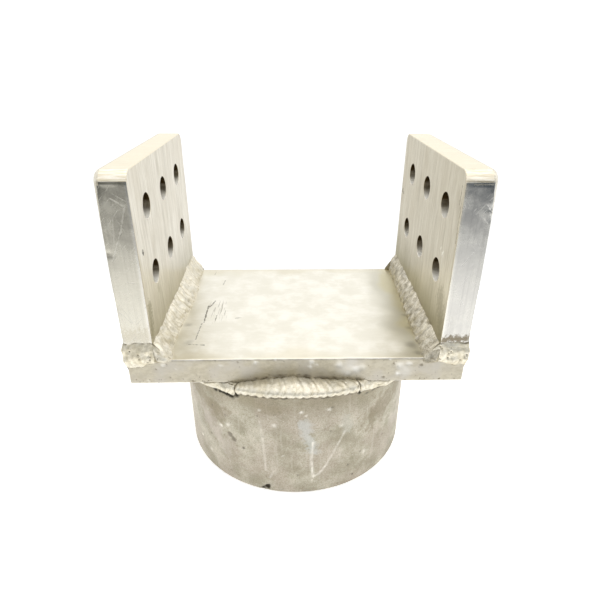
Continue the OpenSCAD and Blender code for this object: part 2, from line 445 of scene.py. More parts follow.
# Painted shade: a grey band beside each cheek for its reflection, weighted strong on the right and faint on
# the left; the same weight thins the straw band on the left.
side = metal.x.between(-40 * MM, 40 * MM, 0.12, 0.8)
base = base.coat(reach.between(38 * MM, 51 * MM) * side, "c6c2b1")
base = base.coat(reach.between(50 * MM, 57 * MM, 0.0, 0.8) * side, "c9c09b")
comb_x = (metal.x + 42 * MM) / (9 * MM)
comb_y = (metal.y + 5 * MM) / (15 * MM)
comb_zone = (comb_x * comb_x + comb_y * comb_y).between(0.2, 1.0, 1.0, 0.0)
comb = metal.noise(0.5, stretch=(1, 22, 1), detail=1.0)
base = base.coat(comb.between(0.60, 0.68, 0.0, 0.6) * comb_zone, "8f8874")
scuffs = [((x, y, SEAT_Z), (to_x, to_y, SEAT_Z), width, strength, "585244")
          for x, y, to_x, to_y, width, strength in SCUFFS]
base = metal.spots(base, scuffs, metal.noise(1.2))
base = base.coat((abs(metal.y) + wander).between(41 * MM, 51 * MM, 0.0, 0.45), "d8cfb4")
base = base.coat(metal.mark("soot_and_shade").between(0.05, 0.9), "5b5445").coat(metal.mark("bright"), "ffffff")
MILL_FACE = metal.finish(base, clouds.between(0.3, 0.7, 0.30, 0.44), clouds * 1.5 + grain * 0.3, 0.03)

# %% [markdown]
# ## The base plate's edges
#
# The plate's long edges have been dragged over concrete. They are a dull, warm grey, pocked with small dark
# pits, and where they were struck the metal is fresh and nearly white.

# %% Scuffed edge
metal = Metal("aluminium_flat_bar_scuffed_edge")
mottle = metal.noise(3.0, stretch=(1.6, 1, 1), detail=6.0, rough=0.65)
chips = metal.noise(2.3, detail=4.0, rough=0.7, shift=(0.7, 0.2, 0.5))
low = metal.z.between(PLATE_Z * MM, (PLATE_Z + 4.5) * MM, 0.11, 0.0)
pits = (metal.noise(1.1, detail=2.0) + low).between(0.70, 0.76)
base = blend(mottle.between(0.36, 0.64), "b4ad9b", "cec8b7")
base = base.coat(metal.noise(13.0).between(0.42, 0.66, 0.0, 0.6), "c3bfb8")
base = base.coat(pits * 0.8, "6e6350").coat(chips.between(0.68, 0.74, 0.0, 0.8), "e9e5dd")
base = base.coat(metal.mark("soot_and_shade").between(0.1, 0.8), "6a5f4b").coat(metal.mark("bright"), "fbfaf6")
SCUFFED_EDGE = metal.finish(base, mottle.between(0.3, 0.7, 0.40, 0.58), mottle - pits * 0.8, 0.08)

# %% [markdown]
# ## The tube
#
# The tube is as extruded and has weathered. Its skin is a grainy, greenish to pinkish grey, with blotches the
# size of a thumb, dark freckles, pale streaks down the drawing direction and a few broad stains. Its top band
# and two olive patches high on its sides, under the plate's overhang, are painted shade.


# %% Weathered tube
def on_tube(degrees, height):
    """A point on the tube, by its angle round from the front and its height."""
    turn = math.radians(degrees)
    return Vector((TUBE_R * math.sin(turn), -TUBE_R * math.cos(turn), height))


TUBE_SHADE_TOP = PLATE_Z + 2
TUBE_SPOTS = [  # angle and height of both ends, width, strength, colour
    # The first and third rows are painted shade: olive patches high on the tube's sides, under the plate's
    # overhang.
    (-58, 50.0, -42, 40.0, 15.0, 0.6, "857c62"),
    (-24, 54.0, -10, 52.0, 6.0, 0.3, "8d846a"),
    (62, 50.0, 38, 38.0, 13.0, 0.6, "857b64"),
    (3, 42.0, 6, 29.0, 6.5, 0.55, "c6c9c7"),
    (22, 44.0, 24, 36.0, 5.0, 0.4, "bdbcb2"),
    (-48, 34.0, -36, 22.0, 12.0, 0.4, "bfb6ae"),
    (70, 44.0, 60, 24.0, 12.0, 0.4, "c4beb4"),
    (-33, 30.0, -31, 28.0, 2.6, 0.7, "6f675a"),
    (-37, 54.4, -30, 55.2, 3.2, 0.95, "2b261c"),
    (-56, 54.0, -50, 54.2, 2.4, 0.8, "3a3426"),
]

metal = Metal("aluminium_tube_weathered")
fine = metal.noise(0.6, detail=4.0, rough=0.7)
blotches = metal.noise(12.0, detail=5.0, rough=0.6)
tints = metal.noise(19.0, detail=2.0, shift=(0.2, 0.6, 0.4))
greens = metal.noise(6.0, detail=5.0, rough=0.65, shift=(0.8, 0.2, 0.7))
streaks = metal.noise(2.6, stretch=(1, 1, 9), shift=(0.4, 0.1, 0.9))
freckles = metal.noise(1.7, rough=0.6, shift=(0.9, 0.3, 0.1))
flecks = metal.noise(0.55, detail=2.0, shift=(0.1, 0.8, 0.5))
base = blend(blotches.between(0.34, 0.68), "a39d8b", "c6c1b2")
base = base.coat(tints.between(0.42, 0.62, 0.0, 0.5), "b9aea2")
base = base.coat(greens.between(0.54, 0.70, 0.0, 0.5), "97957f")
base = base.coat(fine.between(0.44, 0.64, 0.0, 0.42), "8f8876")
base = base.coat(streaks.between(0.58, 0.70, 0.0, 0.2), "d6d1c6")
base = base.coat(freckles.between(0.66, 0.74, 0.0, 0.5), "6f6656")
base = base.coat(flecks.between(0.66, 0.72, 0.0, 0.6), "e4e0d6")
# Painted shade: the top of the tube, under the plate and the bead, is darkened.
smoke_and_shade = (metal.z + blotches * 0.012).between((TUBE_SHADE_TOP - 14) * MM, TUBE_SHADE_TOP * MM, 0.0, 0.5)
tube_spots = [(on_tube(degrees, z), on_tube(to_degrees, to_z), width, strength, colour)
              for degrees, z, to_degrees, to_z, width, strength, colour in TUBE_SPOTS]
base = metal.spots(base.coat(smoke_and_shade, "8f866f"), tube_spots, greens)
base = base.coat(metal.mark("soot_and_shade").between(0.1, 0.8), "3c372d").coat(metal.mark("bright"), "f3f0e8")
WEATHERED_TUBE = metal.finish(base, fine.between(0.3, 0.7, 0.42, 0.6), fine + blotches * 1.5, 0.07)

# %% [markdown]
# ## Weld metal
#
# A weld bead cools from the outside in, so it keeps the frozen waves of its pool. The crests are painted
# nearly white, as painted highlight, and the grooves a darker straw colour, as painted shade; the toes, where
# the bead meets the bar, hold smoke. The shape of the waves is real geometry. The bead-laying code also paints
# how high each point stands and how sooty it is, and this material reads those two numbers.

# %% Weld bead
metal = Metal("aluminium_weld_bead_as_laid")
soot_and_shade = metal.mark("soot_and_shade")
sand = metal.noise(0.55, detail=5.0, rough=0.75)
crust = metal.noise(1.6, detail=4.0, rough=0.65, shift=(0.2, 0.5, 0.1))
# Painted highlight and shade: the crests are painted pale and the grooves between the waves a darker straw.
base = blend(metal.mark("crest").between(0.05, 0.7), "cbc3aa", "f2ecdc")
base = base.coat(metal.noise(5.0).between(0.42, 0.66, 0.0, 0.6), "e2dfd4")
base = base.coat(crust.between(0.50, 0.66, 0.0, 0.4), "c2baa3")
base = base.coat(sand.between(0.5, 0.66, 0.0, 0.4), "bfb7a1")
smoke_and_shade = (soot_and_shade + (sand - 0.5) * 0.7).between(0.35, 0.95)
base = base.coat(smoke_and_shade, "6b6047").coat(soot_and_shade.between(0.85, 1.0), "2f2a20")
WELD_METAL = metal.finish(base, crust.between(0.3, 0.7, 0.42, 0.60), sand * 0.5 + crust, 0.2)

# %% [markdown]
# ## Helpers for shapes
#
# Each piece is worked in millimetres in a bmesh and ends as one closed mesh with its origin at the frame's
# origin. Two numbers are painted on the vertices as it is worked: bright, for struck or rubbed metal and for
# painted highlight on sharp edges and at the bottom of each hole, and soot, for dirt and for painted shade at
# the top of each hole. The finishing helper turns the normals outwards, scales to metres, marks the sharp
# edges and hides the design parts that the piece stands in for.


# %% Shape helpers
LIMIT_LOW = Vector(cad_bounds[0]) / MM
LIMIT_HIGH = Vector(cad_bounds[1]) / MM


def painted(bm, name):
    """The vertex layer of this name, made if it isn't there yet."""
    return bm.verts.layers.float.get(name) or bm.verts.layers.float.new(name)


def finish_piece(bm, name, materials, nodes, sharp_degrees=32):
    """Turns a bmesh in millimetres into a finished piece that stands for these design nodes."""
    for vert in bm.verts:
        vert.co = [min(max(c, low), high) for c, low, high in zip(vert.co, LIMIT_LOW, LIMIT_HIGH)]
    bmesh.ops.recalc_face_normals(bm, faces=bm.faces)
    bmesh.ops.scale(bm, vec=(MM, MM, MM), verts=bm.verts)
    mesh = bpy.data.meshes.new(name)
    bm.to_mesh(mesh)
    bm.free()
    for material in materials:
        mesh.materials.append(material)
    mesh.shade_smooth()
    mesh.set_sharp_from_angle(angle=math.radians(sharp_degrees))
    piece = bpy.data.objects.new(name, mesh)
    bpy.context.scene.collection.objects.link(piece)
    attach(piece, "root")
    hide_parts(*nodes)
    print(f"{name}: {len(mesh.vertices)} vertices, {len(mesh.polygons)} faces")
    return piece


def edges_along(bm, axis):
    """The edges that run along X, Y or Z."""
    return [edge for edge in bm.edges
            if abs((edge.verts[1].co - edge.verts[0].co).normalized()[axis]) > 0.999]


def dent(bm, centre, radius, depth, push, bright=0.0, soot_and_shade=0.0):
    """Presses a shallow round dent, and paints it."""
    bright_layer, soot_and_shade_layer = painted(bm, "bright"), painted(bm, "soot_and_shade")
    for vert in bm.verts:
        distance = (vert.co - centre).length / radius
        if distance < 1.5:
            distance *= 1 + 0.45 * noise.noise(vert.co / (0.6 * radius))
        if distance < 1:
            share = (1 - distance * distance) ** 2
            vert.co += push * (depth * share)
            vert[bright_layer] = max(vert[bright_layer], bright * share)
            vert[soot_and_shade_layer] = max(vert[soot_and_shade_layer], soot_and_shade * share)


def sway(bm, amount, size, seed):
    """Takes the machine flatness off a surface: it moves each vertex along its normal by slow noise."""
    bm.normal_update()
    offset = Vector((seed * 7.3, seed * 3.1, seed * 5.7))
    moves = [(vert, vert.normal * amount * noise.noise(vert.co / size + offset)) for vert in bm.verts]
    for vert, move in moves:
        vert.co += move


def hole_distance(point):
    """How far a point is from the axis of the nearest bolt hole."""
    return min(math.hypot(point.y - y, point.z - z) for y in HOLE_YS for z in HOLE_ZS)


def paint_edge_wear_and_highlight(bm, least_angle, strength, seed):
    """Paints the sharp edges bright, as wear and as painted highlight, more in some places than others, but
    not the rims of the holes.
    """
    layer = painted(bm, "bright")
    for edge in bm.edges:
        if len(edge.link_faces) == 2 and edge.calc_face_angle(0) > least_angle:
            for vert in edge.verts:
                if hole_distance(vert.co) < HOLE_R + 2:
                    continue
                patchy = 0.5 + 0.5 * noise.noise(vert.co / 5 + Vector((seed, 0, 0)))
                vert[layer] = max(vert[layer], strength * patchy)


print("limits", [round(c, 1) for c in LIMIT_LOW], [round(c, 1) for c in LIMIT_HIGH])

# %% [markdown]
# ## Where the ring of weld meets the bars
#
# The ring bead has a toe on the plate's edge and one on the tube. The plate and the tube carry a thin line of
# smoke along it, so they need to know where it runs. The toes' heights are settled here, before anything is
# made.

# %% Ring toes
ring_low, ring_high = box_mm("right_ring_weld")
RING_OUT = ring_high.x - TUBE_R
RING_DOWN = PLATE_Z - ring_low.z
front_low, front_high = box_mm("front_ring_weld")
LIP_UP = front_high.z - PLATE_Z
RUN_END = 28.4


def drifting(s, seed, size=9.0):
    """A slow, repeatable wander between -1 and 1 along a bead."""
    return noise.noise(Vector((s / size, seed * 2.3, 1.7)))


def from_nearest_face(degrees):
    """The angle from the nearer of the front and the back: 0 to 90, and below 0 towards the left."""
    folded = (degrees + 180) % 360 - 180
    if abs(folded) > 90:
        folded = math.copysign(180 - abs(folded), folded)
    return folded


def lip_rise(degrees):
    """How far the bead climbs the plate's edge: most at the middle, and less steeply lost on the right."""
    away = from_nearest_face(degrees)
    rise = 3.5 * (1 - (away / 28) ** 2) if away < 0 else 3.4 - 0.085 * away
    return min(LIP_UP + 0.3, max(0.0, rise)) + 0.2 * drifting(degrees, 3, 5.0)


def lip_drop(degrees):
    """How far it hangs down the tube: little at the middle, and most at its ends."""
    return 1.5 + 2.3 * (from_nearest_face(degrees) / 27) ** 2 + 0.25 * drifting(degrees, 5, 5.0)


def angle_of(point):
    """The angle round the tube from the front, in degrees, positive to the right."""
    return math.degrees(math.atan2(point.x, -point.y))


def smoke_line(bm, gap_of, width, strength):
    """Paints soot where gap_of(point), the distance from a toe, is small."""
    layer = painted(bm, "soot_and_shade")
    for vert in bm.verts:
        gap = abs(gap_of(vert.co)) / width
        if gap < 1:
            patchy = 0.45 + 0.75 * noise.noise(vert.co / 2.2)
            vert[layer] = max(vert[layer], strength * patchy * (1 - gap))


print(f"ring bead: {RING_OUT:.1f} out, {RING_DOWN:.1f} down, {LIP_UP:.1f} up the plate's edge")

# %% [markdown]
# ## The base plate
#
# A sawn length of flat bar. A cube gets its size, its edges are eased with a small bevel, and then they are
# subdivided in each direction until a cell is about a millimetre. That is fine enough to press real dents
# into the struck front edge and to let the wide face wander a few hundredths, as rolled bar does.

# %% Base plate blank
EDGE_EASE = 0.55
CELL = 1.0


def bar_blank(low, high):
    """A box with these corners."""
    bm = bmesh.new()
    bmesh.ops.create_cube(bm, size=1.0)
    bmesh.ops.scale(bm, vec=high - low, verts=bm.verts)
    bmesh.ops.translate(bm, vec=(low + high) / 2, verts=bm.verts)
    return bm


plate = bar_blank(plate_low, plate_high)
bmesh.ops.bevel(plate, geom=plate.edges[:], offset=EDGE_EASE, segments=3, profile=0.5, affect="EDGES",
                material=-1, clamp_overlap=True)
for axis, length in enumerate(plate_high - plate_low):
    long_edges = [edge for edge in edges_along(plate, axis) if edge.calc_length() > length / 2]
    bmesh.ops.subdivide_edges(plate, edges=long_edges, cuts=round(length / CELL) - 1, use_grid_fill=True)
print(len(plate.faces), "faces on the plate's blank")

# %% Base plate wear
BACKWARDS = Vector((0, 1, 0))
NICKS_ON_PLATE = 46
PLATE_DENTS = [  # X and Z on the front edge, radius, depth, how bright
    (-19.1, 71.9, 1.4, 0.4, 0.8),
    (6.6, 72.1, 1.7, 0.45, 0.9),
    (8.6, 70.6, 1.2, 0.3, 0.6),
    (19.3, 70.4, 3.0, 0.35, 0.55),
    (26.7, 67.8, 3.4, 0.4, 0.6),
    (23.2, 66.2, 3.0, 0.3, 0.5),
    (29.5, 69.0, 2.6, 0.3, 0.45),
    (23.0, 68.5, 7.0, 0.1, 0.35),
    (-60.3, 70.6, 1.2, 0.3, 0.7),
    (-34.4, 70.3, 1.1, 0.25, 0.6),
    (46.7, 69.3, 3.2, 0.3, 0.5),
    (50.5, 70.6, 2.0, 0.3, 0.5),
    (49.0, 66.8, 5.0, 0.1, 0.3),
]

sway(plate, 0.07, 18.0, 1)
for x, z, radius, depth, bright in PLATE_DENTS:
    dent(plate, Vector((x, -HALF_W, z)), radius, depth, BACKWARDS, bright=bright)

nicks = random.Random(5)
for _ in range(NICKS_ON_PLATE):
    end = nicks.choice((-1, 1))
    centre = Vector((nicks.uniform(-HALF_L, HALF_L), end * HALF_W, nicks.uniform(PLATE_Z, SEAT_Z)))
    pale = nicks.random() < 0.45
    dent(plate, centre, nicks.uniform(0.7, 1.5), nicks.uniform(0.12, 0.3), BACKWARDS * -end,
         bright=0.8 if pale else 0.0, soot_and_shade=0.0 if pale else 0.7)
paint_edge_wear_and_highlight(plate, math.radians(20), 0.85, 2)

# %% Base plate scuffs and finish
UP = Vector((0, 0, 1))
FAR_OFF = 99.0


def gap_to_lip(point):
    """How far above the ring bead's upper toe a point of the plate's long edges is."""
    if abs(point.y) < HALF_W - 0.4 or abs(from_nearest_face(angle_of(point))) > RUN_END + 2:
        return FAR_OFF
    return point.z - PLATE_Z - lip_rise(angle_of(point)) - 0.7


smoke_line(plate, gap_to_lip, 1.3, 0.8)
PLATE_STAINS = [  # X and Y on the seat, radius, strength
    (-54.6, -19.6, 4.0, 0.36),
    (-51.4, -36.4, 4.6, 0.36),
    (53.6, -39.8, 6.0, 0.42),
    (55.4, -47.0, 4.0, 0.42),
    (56.6, -24.0, 3.6, 0.4),
    (57.0, -11.0, 3.0, 0.42),
]
for x, y, radius, strength in PLATE_STAINS:
    dent(plate, Vector((x, y, SEAT_Z)), radius, 0.0, UP, soot_and_shade=strength)
for face in plate.faces:
    face.material_index = 0 if abs(face.normal.z) > 0.75 else 1
base_plate_bar = finish_piece(plate, "base_plate_bar", [MILL_FACE, SCUFFED_EDGE], ["base_plate"])

# %% [markdown]
# ## The cheeks
#
# Each cheek is the same bar stood on end. Its two top corners are ground to a radius of 5 mm, which is one
# wide bevel on two edges. The outer rim of the top gets a bevel of its own, because the grinder was run
# round it, and the other edges are only eased. The wide faces are now polygons with many sides, so the grid
# is cut with planes instead of being subdivided. The holes are cut last, with a boolean: its cutter is spun
# from a profile that flares at both faces, which leaves each hole a small countersink.

# %% Hole cutter
RIM_BEVEL = 2.2
HOLE_FLARE = 0.15


def hole_cutter(side):
    """One closed mesh that holds a flared pin for each hole of a cheek."""
    bm = bmesh.new()
    inner, outer = INNER_X, HALF_L
    profile = [
        (inner - 3, 0), (inner - 3, HOLE_R + 3), (inner + HOLE_FLARE, HOLE_R),
        (outer - HOLE_FLARE, HOLE_R), (outer + 3, HOLE_R + 3), (outer + 3, 0),
    ]
    for y in HOLE_YS:
        for z in HOLE_ZS:
            verts = [bm.verts.new((side * along, y, z + radius)) for along, radius in profile]
            edges = [bm.edges.new(pair) for pair in zip(verts, verts[1:])]
            bmesh.ops.spin(bm, geom=verts + edges, cent=(0, y, z), axis=(1, 0, 0), angle=math.tau, steps=48,
                           use_merge=True)
    bmesh.ops.remove_doubles(bm, verts=bm.verts, dist=0.001)
    bmesh.ops.recalc_face_normals(bm, faces=bm.faces)
    mesh = bpy.data.meshes.new("hole_cutter")
    bm.to_mesh(mesh)
    bm.free()
    return mesh


# %% Cheek blank
def cut_grid(bm, axis, low, high, cell):
    """Cuts the mesh with evenly spaced planes across one axis."""
    count = round((high - low) / cell)
    for i in range(1, count):
        place, normal = Vector(), Vector()
        place[axis] = low + (high - low) * i / count
        normal[axis] = 1
        everything = bm.verts[:] + bm.edges[:] + bm.faces[:]
        bmesh.ops.bisect_plane(bm, geom=everything, plane_co=place, plane_no=normal)


def cheek_blank(side):
    """The cheek's bar with ground corners, eased edges and a grid, but no holes yet."""
    low = Vector((min(side * INNER_X, side * HALF_L), -HALF_W, SEAT_Z))
    high = Vector((max(side * INNER_X, side * HALF_L), HALF_W, TOP_Z))
    bm = bar_blank(low, high)
    corners = [edge for edge in edges_along(bm, 0) if edge.verts[0].co.z > TOP_Z - 1]
    bmesh.ops.bevel(bm, geom=corners, offset=CORNER_R, segments=14, profile=0.5, affect="EDGES", material=-1)
    rim = [edge for edge in bm.edges
           if all(abs(v.co.x - side * HALF_L) < 0.01 and v.co.z > TOP_Z - CORNER_R - 0.01
                  for v in edge.verts)]
    bmesh.ops.bevel(bm, geom=rim, offset=RIM_BEVEL, segments=3, profile=0.5, affect="EDGES", material=-1)
    bm.normal_update()
    sharp = [edge for edge in bm.edges if edge.calc_face_angle(0) > math.radians(50)]
    bmesh.ops.bevel(bm, geom=sharp, offset=0.4, segments=2, profile=0.5, affect="EDGES", material=-1)
    cut_grid(bm, 0, low.x, high.x, 1.6)
    cut_grid(bm, 1, low.y, high.y, 1.3)
    cut_grid(bm, 2, low.z, high.z, 1.3)
    return bm


def cut_holes(bm, side):
    """Cuts the holes and returns a new bmesh."""
    blank_mesh = bpy.data.meshes.new("cheek_blank")
    bm.to_mesh(blank_mesh)
    bm.free()
    blank = bpy.data.objects.new("cheek_blank", blank_mesh)
    cutter = bpy.data.objects.new("hole_cutter", hole_cutter(side))
    for temporary in (blank, cutter):
        bpy.context.scene.collection.objects.link(temporary)
    boolean = blank.modifiers.new("holes", "BOOLEAN")
    boolean.object = cutter
    boolean.operation = "DIFFERENCE"
    boolean.solver = "EXACT"
    graph = bpy.context.evaluated_depsgraph_get()
    drilled = bmesh.new()
    drilled.from_mesh(blank.evaluated_get(graph).to_mesh())
    for temporary in (blank, cutter):
        mesh = temporary.data
        bpy.data.objects.remove(temporary)
        bpy.data.meshes.remove(mesh)
    return drilled


# %% Cheek finish
BRUSHED, ROLLED, GROUND, DRILLED = range(4)


def make_cheek(side, name, node, seed, dents):
    """Makes one cheek: drilled, dented, ground unevenly at its corners, dirty where it would be, and with
    painted shade at the top of each hole and painted highlight at its bottom.
    """
    bm = cut_holes(cheek_blank(side), side)
    sway(bm, 0.05, 22.0, seed)
    for vert in bm.verts:
        if vert.co.z <= TOP_Z - CORNER_R or abs(vert.co.y) <= HALF_W - CORNER_R:
            continue
        turn = math.atan2(vert.co.z - (TOP_Z - CORNER_R), abs(vert.co.y) - (HALF_W - CORNER_R))
        facet = noise.noise(Vector((turn * 6.0 + seed, math.copysign(3, vert.co.y), vert.co.x / 30)))
        vert.co += Vector((0, math.copysign(math.cos(turn), vert.co.y), math.sin(turn))) * facet * 0.16
    for centre, radius, depth, bright, soot_and_shade in dents:
        push = BACKWARDS if centre.y < -HALF_W + 1 else Vector((side, 0, 0))
        dent(bm, centre, radius, depth, push, bright=bright, soot_and_shade=soot_and_shade)
    paint_edge_wear_and_highlight(bm, math.radians(25), 0.7, seed)
    soot_and_shade_layer, bright_layer = painted(bm, "soot_and_shade"), painted(bm, "bright")
    # Painted shade at the top of each hole and painted highlight at its bottom, by height in the hole.
    for vert in bm.verts:
        if hole_distance(vert.co) < HOLE_R + 0.1:
            height = min((vert.co.z - z for z in HOLE_ZS), key=abs) / HOLE_R
            vert[soot_and_shade_layer] = min(1.0, max(0.0, 0.78 + 0.8 * height + 0.25 * noise.noise(vert.co / 2)))
            vert[bright_layer] = min(1.0, max(0.0, -0.6 - 1.8 * height))
    bm.normal_update()
    for face in bm.faces:
        centre = face.calc_center_median()
        at_top = centre.z > TOP_Z - CORNER_R - 0.5
        if hole_distance(centre) < HOLE_R + 0.8 and abs(face.normal.x) < 0.95:
            face.material_index = DRILLED
        elif 0.25 < face.normal.x * side < 0.97 and at_top:
            face.material_index = BRUSHED
        elif centre.z > TOP_Z - 0.6 or face.normal.z > 0.12 and at_top:
            face.material_index = GROUND
        elif abs(face.normal.x) > 0.6:
            face.material_index = BRUSHED
        else:
            face.material_index = ROLLED
    materials = [BRUSHED_BAR, ROLLED_EDGE, GROUND_METAL, DRILLED_WALL]
    return finish_piece(bm, name, materials, [node])


left_dents = [
    (Vector((-INNER_X, -44.1, 122.5)), 1.0, 0.4, 0.0, 1.0),
    (Vector((-HALF_L + 1, -HALF_W, 123.9)), 1.0, 0.3, 0.0, 0.8),
    (Vector((-HALF_L + 0.6, -HALF_W, 101.5)), 1.0, 0.3, 0.0, 0.6),
]
right_dents = [
    (Vector((INNER_X, 47.5, 125.1)), 0.9, 0.4, 0.0, 1.0),
    (Vector((INNER_X, 45.0, 124.6)), 0.8, 0.3, 0.0, 0.8),
    (Vector((INNER_X, -36.2, 118.0)), 1.3, 0.35, 1.0, 0.0),
    (Vector((74.3, -HALF_W, 142.6)), 1.3, 0.25, 1.0, 0.0),
    (Vector((75.4, -HALF_W, 139.0)), 1.1, 0.3, 1.0, 0.0),
    (Vector((74.0, -HALF_W, 137.0)), 0.9, 0.2, 0.8, 0.0),
]
left_cheek_bar = make_cheek(-1, "left_cheek_bar", "left_cheek", 3, left_dents)
right_cheek_bar = make_cheek(1, "right_cheek_bar", "right_cheek", 9, right_dents)

# %% [markdown]
# ## The tube
#
# A thick wall spun round the Z axis. The profile is a rectangle between the bore and the outside, with cells
# of about a millimetre and a half; spinning it gives quads that are ready to be dented. The lower rim is
# eased with a bevel after the spin. The deep dark nick at the front of the rim and the chips are pressed in
# and painted, and the long scratches are painted.

# %% Tube blank
TUBE_STEPS = 480
RIM_EASE = 0.8


def tube_blank():
    """The wall of the tube, with an eased lower rim."""
    bm = bmesh.new()
    corners = [(BORE_R, PLATE_Z), (BORE_R, 0.0), (TUBE_R, 0.0), (TUBE_R, PLATE_Z)]
    verts = [bm.verts.new((0, -radius, height)) for radius, height in corners]
    edges = [bm.edges.new(pair) for pair in zip(verts, verts[1:] + verts[:1])]
    bmesh.ops.subdivide_edges(bm, edges=[edges[2]], cuts=89)
    bmesh.ops.subdivide_edges(bm, edges=[edges[0]], cuts=11)
    bmesh.ops.subdivide_edges(bm, edges=[edges[1], edges[3]], cuts=3)
    bmesh.ops.spin(bm, geom=bm.verts[:] + bm.edges[:], cent=(0, 0, 0), axis=(0, 0, 1), angle=math.tau,
                   steps=TUBE_STEPS, use_merge=True)
    bm.normal_update()
    bmesh.ops.recalc_face_normals(bm, faces=bm.faces)
    rims = [edge for edge in bm.edges
            if all(v.co.z < 0.01 for v in edge.verts) and edge.calc_face_angle(0) > 1]
    bmesh.ops.bevel(bm, geom=rims, offset=RIM_EASE, segments=3, profile=0.5, affect="EDGES", material=-1)
    return bm


tube = tube_blank()
print(len(tube.faces), "faces on the tube's blank")


# %% Tube wear
def scratch(bm, points, width, strength):
    """Paints a thin bright line through these points, with ragged strength."""
    layer = painted(bm, "bright")
    for start, stop in zip(points, points[1:]):
        along = stop - start
        for vert in bm.verts:
            share = min(max((vert.co - start).dot(along) / along.length_squared, 0), 1)
            distance = (vert.co - start - along * share).length / width
            if distance < 1:
                ragged = 0.65 + 0.5 * noise.noise(vert.co / 2.0)
                vert[layer] = max(vert[layer], strength * ragged * (1 - distance))


def dent_tube(degrees, height, radius, depth, bright, soot_and_shade):
    """Presses a dent towards the tube's axis."""
    centre = on_tube(degrees, height)
    inwards = -Vector((centre.x, centre.y, 0)).normalized()
    dent(tube, centre, radius, depth, inwards, bright=bright, soot_and_shade=soot_and_shade)


sway(tube, 0.10, 20.0, 4)
TUBE_DENTS = [  # angle, height, radius, depth, how bright, how dark
    (-38.4, 32.8, 1.4, 0.35, 1.0, 0.0),
    (-56.0, 14.7, 1.3, 0.3, 0.9, 0.0),
    (-14.2, 2.4, 2.6, 0.9, 0.0, 1.0),
    (-16.5, 1.2, 1.8, 0.5, 0.0, 0.8),
    (-25.8, 24.3, 1.8, 0.25, 0.0, 0.6),
    (27.6, 4.9, 1.2, 0.3, 0.0, 0.7),
    (-35.2, 40.8, 1.5, 0.2, 0.0, 0.4),
    (1.5, 51.0, 1.2, 0.2, 0.9, 0.0),
    (3.5, 49.0, 0.9, 0.2, 0.7, 0.0),
    (-16.9, 50.5, 1.0, 0.2, 0.6, 0.0),
    (20.0, 40.0, 1.4, 0.2, 0.5, 0.0),
    (34.0, 18.0, 1.2, 0.25, 0.5, 0.0),
]
for row in TUBE_DENTS:
    dent_tube(*row)
TUBE_SCRATCHES = [  # width, strength, then the angle and height of each point
    (0.9, 1.0, (6.9, 32.5), (6.3, 22.0), (6.9, 13.5), (7.4, 10.6)),
    (0.9, 1.0, (7.4, 10.2), (10.5, 12.5), (13.0, 16.5)),
    (0.8, 0.6, (13.0, 16.5), (17.0, 25.0), (22.0, 35.8)),
    (0.8, 0.55, (-17.0, 44.0), (-15.6, 30.0), (-14.8, 13.7)),
    (0.8, 0.4, (-13.0, 9.0), (-11.0, 14.0)),
]
for width, strength, *places in TUBE_SCRATCHES:
    scratch(tube, [on_tube(*place) for place in places], width, strength)

# %% Tube smoke and finish
NICKS_ON_TUBE = 60


def gap_to_drop(point):
    """How far below the ring bead's lower toe a point of the tube's skin is."""
    if math.hypot(point.x, point.y) < TUBE_R - 1:
        return FAR_OFF
    away = abs(from_nearest_face(angle_of(point)))
    drop = lip_drop(angle_of(point)) if away < RUN_END else 6.2
    return PLATE_Z - drop - 0.5 - point.z


smoke_line(tube, gap_to_drop, 1.3, 0.9)
for degrees, height, radius in ((-27.5, 56.0, 2.6), (-40.0, 54.0, 2.4), (28.5, 56.5, 2.0)):
    dent(tube, on_tube(degrees, height), radius, 0.0, UP, soot_and_shade=0.9)
nicks = random.Random(11)
for _ in range(NICKS_ON_TUBE):
    degrees, height = nicks.uniform(0, 360), nicks.uniform(1, PLATE_Z - 8)
    pale = nicks.random() < 0.5
    dent_tube(degrees, height, nicks.uniform(0.8, 1.7), nicks.uniform(0.08, 0.25),
              0.6 if pale else 0.0, 0.0 if pale else 0.5)
ground_tube_wall = finish_piece(tube, "ground_tube_wall", [WEATHERED_TUBE], ["ground_tube"])

# %% [markdown]
# ## Laying a weld bead
#
# Every bead starts as the same blank: a cylinder whose side is cut into many rings. Laying the bead moves
# each ring to its place along the seam. A section there has three points: one toe on each metal, and the
# root in the corner behind. Four fifths of the ring become the rounded face between the toes and the rest
# closes the back. The face is then raised by overlapping waves. Each wave is a crescent, because the pool
# freezes from its edges inwards, so the wave's phase bends back towards the toes. Slower waves follow the
# hand's weave, and noise keeps any two from being alike. At both ends the section shrinks to a round nose.

# %% Bead blank
BEAD_SIDES = 40
RING_STEP = 0.3
FACE_SHARE = 0.8


def bead_blank(bm, rings):
    """Adds a capped cylinder with this many rings. Returns its new vertices."""
    first = len(bm.verts)
    bmesh.ops.create_cone(bm, cap_ends=True, cap_tris=False, segments=BEAD_SIDES,
                          radius1=1, radius2=1, depth=1)
    bm.verts.ensure_lookup_table()
    lengthwise = {edge for vert in bm.verts[first:] for edge in vert.link_edges
                  if abs(edge.verts[0].co.z - edge.verts[1].co.z) > 0.5}
    bmesh.ops.subdivide_edges(bm, edges=list(lengthwise), cuts=rings - 1)
    bm.verts.ensure_lookup_table()
    return bm.verts[first:]


def wave(phase, seed):
    """One frozen wave: it rises slowly and drops fast, and no two are as high."""
    cell = math.floor(phase)
    share = phase - cell
    strength = 0.62 + 0.38 * math.sin(cell * 12.9898 + seed * 78.233)
    return strength * math.sin(math.pi * share ** 1.7)


